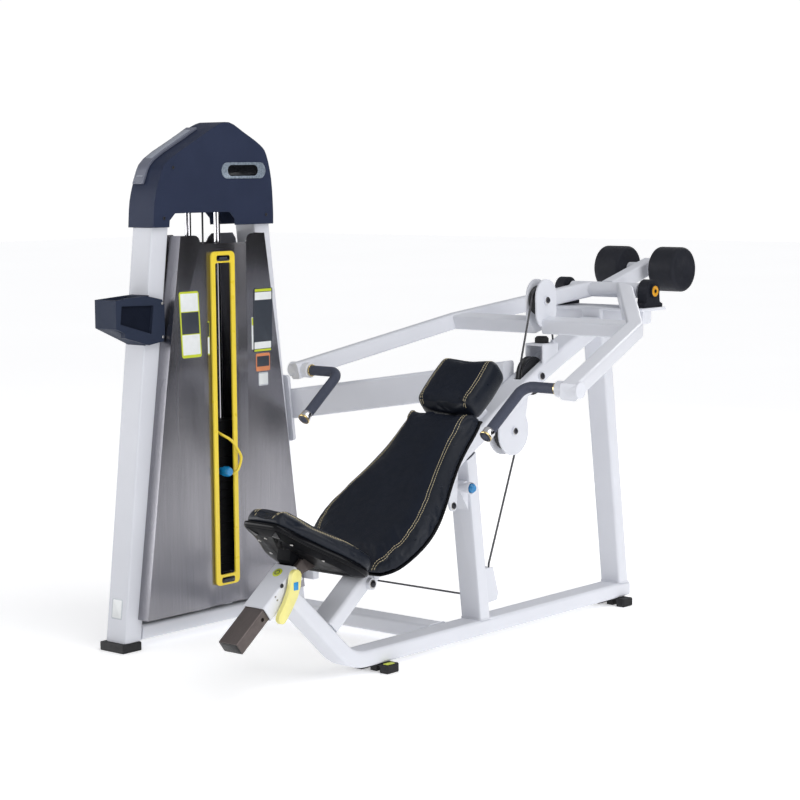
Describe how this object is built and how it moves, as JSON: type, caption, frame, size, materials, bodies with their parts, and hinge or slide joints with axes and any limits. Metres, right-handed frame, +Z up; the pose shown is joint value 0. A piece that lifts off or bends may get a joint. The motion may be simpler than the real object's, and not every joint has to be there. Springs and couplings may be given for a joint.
{
  "type": "chest press machine",
  "caption": "Incline chest press machine: reclined bench, pivoting press arm with counterweights and a side tower with a pin-selected weight stack.",
  "frame": {"origin": "centre of the bottom face of the rubber foot under the front of the bench's floor tube, on the bench's centre plane", "axes": "+X to the seated user's left, +Y from the seat to the rear post, +Z up; the tower stands on -X"},
  "size_m": [1.378, 2.0429, 1.5855],
  "materials": {
    "frame_white": "gloss powder coat",
    "arm_white": "gloss powder coat",
    "hood_charcoal": "satin moulded",
    "rail_grey": "satin moulded",
    "holder_slate": "matte moulded",
    "slot_yellow": "gloss paint",
    "lever_yellow": "gloss moulded",
    "pin_blue": "gloss moulded",
    "pulley_black": "satin nylon",
    "rubber_black": "matte",
    "shell_black": "gloss moulded",
    "pad_vinyl": "grained upholstery with double stitching",
    "grip_slate": "matte",
    "weight_black": "matte paint",
    "plate_iron": "satin",
    "shroud_steel": "brushed",
    "rod_chrome": "polished",
    "post_steel": "dark satin",
    "cable_grey": "nylon coated steel cable"
  },
  "bodies": {
    "frame": {"base_tube": "frame_white", "cross_tube": "frame_white", "front_strut": "frame_white", "mid_post": "frame_white", "rear_post": "frame_white", "spine_tube": "frame_white", "seat_sleeve": "frame_white", "link_beam": "frame_white", "base_foot_front": "rubber_black", "base_foot_rear": "rubber_black", "tower_foot_front": "rubber_black", "tower_foot_rear": "rubber_black", "back_shell": "shell_black", "back_pad": "pad_vinyl", "head_pad": "pad_vinyl", "pillow_block_left": "weight_black", "pillow_block_right": "weight_black", "tower_base_beam": "frame_white", "tower_upright_front": "frame_white", "tower_upright_rear": "frame_white", "tower_top_beam": "frame_white", "tower_hood": "hood_charcoal", "hood_rail": "rail_grey", "tower_shroud": "shroud_steel", "slot_frame": "slot_yellow", "tower_back_cover": "shroud_steel", "stack_plates_resting": "plate_iron", "guide_rod_front": "rod_chrome", "guide_rod_rear": "rod_chrome", "rod_buffer_front": "rubber_black", "rod_buffer_rear": "rubber_black", "accessory_holder": "holder_slate", "stop_bumper": "rubber_black", "cable_stack": "cable_grey", "cable_lower": "cable_grey", "cable_arm": "cable_grey"},
    "press_arm": {"arm_pivot_tube": "arm_white", "arm_left": "arm_white", "arm_right": "arm_white", "arm_crosspiece": "arm_white", "grip_left": "grip_slate", "grip_right": "grip_slate", "counterweight_tube": "arm_white", "counterweight_left": "weight_black", "counterweight_right": "weight_black"},
    "weight_stack": {"stack_plates_lifted": "plate_iron", "stack_top_plate": "plate_iron", "selector_rod": "rod_chrome", "pin_lanyard": "slot_yellow"},
    "selector_pin": {"selector_pin": "pin_blue"},
    "seat": {"seat_post": "post_steel", "seat_shell": "shell_black", "seat_pad": "pad_vinyl"},
    "seat_lever": {"seat_lever": "lever_yellow"},
    "lock_knob": {"lock_knob": "pin_blue"},
    "low_pulley": {"low_pulley": "pulley_black"},
    "slot_pulley": {"slot_pulley": "pulley_black"},
    "top_pulley_front": {"top_pulley_front": "pulley_black"},
    "top_pulley_rear": {"top_pulley_rear": "pulley_black"},
    "arm_pulley": {"arm_pulley": "pulley_black"}
  },
  "joints": [
    {"name": "press_arm", "type": "hinge", "parent": "frame", "child": "press_arm", "pos_m": [0, 1.151, 1.043], "axis": [-1, 0, 0], "range_deg": [0, 35], "deforming": ["cable_arm"]},
    {"name": "stack_lift", "type": "slide", "parent": "frame", "child": "weight_stack", "axis": [0, 0, 1], "range_m": [0, 0.43], "deforming": ["cable_stack"]},
    {"name": "pin_pull", "type": "slide", "parent": "weight_stack", "child": "selector_pin", "axis": [1, 0, 0], "range_m": [0, 0.09]},
    {"name": "seat_height", "type": "slide", "parent": "frame", "child": "seat", "axis": [0, 0.7986, 0.6018], "range_m": [0, 0.075]},
    {"name": "seat_release", "type": "hinge", "parent": "frame", "child": "seat_lever", "pos_m": [0.054, -0.397, 0.319], "axis": [-1, 0, 0], "range_deg": [0, 12], "stiffness_Nm_per_rad": 2},
    {"name": "lock_pull", "type": "slide", "parent": "frame", "child": "lock_knob", "axis": [1, 0, 0], "range_m": [0, 0.012], "stiffness_N_per_m": 300},
    {"name": "low_pulley_spin", "type": "hinge", "parent": "frame", "child": "low_pulley", "pos_m": [0, 0.628, 0.633], "axis": [1, 0, 0], "continuous": true},
    {"name": "slot_pulley_spin", "type": "hinge", "parent": "frame", "child": "slot_pulley", "pos_m": [0, 0.74, 0.795], "axis": [1, 0, 0], "continuous": true},
    {"name": "top_pulley_front_spin", "type": "hinge", "parent": "frame", "child": "top_pulley_front", "pos_m": [-0.772, 0.1279, 1.449], "axis": [1, 0, 0], "continuous": true},
    {"name": "top_pulley_rear_spin", "type": "hinge", "parent": "frame", "child": "top_pulley_rear", "pos_m": [-0.772, 0.252, 1.449], "axis": [1, 0, 0], "continuous": true},
    {"name": "arm_pulley_spin", "type": "hinge", "parent": "press_arm", "child": "arm_pulley", "pos_m": [0, 0.795, 1.027], "axis": [1, 0, 0], "continuous": true}
  ],
  "couplings": [
    {"joint": "stack_lift", "follows": "press_arm", "m_per_rad": 0.7},
    {"joint": "low_pulley_spin", "follows": "press_arm", "ratio": 12.3},
    {"joint": "slot_pulley_spin", "follows": "press_arm", "ratio": -11.9},
    {"joint": "top_pulley_front_spin", "follows": "press_arm", "ratio": -17.1},
    {"joint": "top_pulley_rear_spin", "follows": "press_arm", "ratio": -17.1},
    {"joint": "arm_pulley_spin", "follows": "press_arm", "ratio": -6.7}
  ]
}
